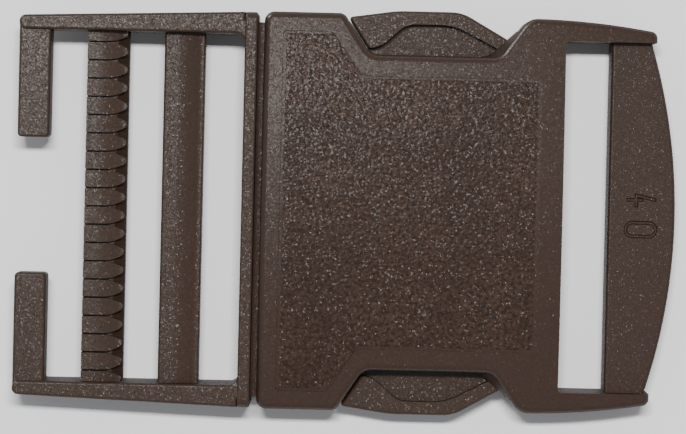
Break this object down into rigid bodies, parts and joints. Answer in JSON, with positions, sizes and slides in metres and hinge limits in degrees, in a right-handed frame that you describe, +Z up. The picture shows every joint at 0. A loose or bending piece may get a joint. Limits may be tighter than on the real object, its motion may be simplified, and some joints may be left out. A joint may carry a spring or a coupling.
{
  "type": "side release buckle",
  "caption": "Fastened side release buckle for 40 mm webbing: a socket with an end bar, and a plug whose two sprung arms lock in the socket's side notches.",
  "frame": {"origin": "middle of the fastened buckle's footprint, on the floor under its flat underside", "axes": "+X along the webbing from the plug to the socket's end bar, +Y across the webbing, +Z up through the panelled top"},
  "size_m": [0.0794, 0.0488, 0.012],
  "materials": {
    "plug_plastic": "dark brown acetal, fine spark-eroded texture",
    "socket_plastic": "dark brown acetal, fine spark-eroded texture, coarse grain on the top panel"
  },
  "bodies": {
    "root": {"plug": "plug_plastic", "socket": "socket_plastic"}
  },
  "joints": []
}
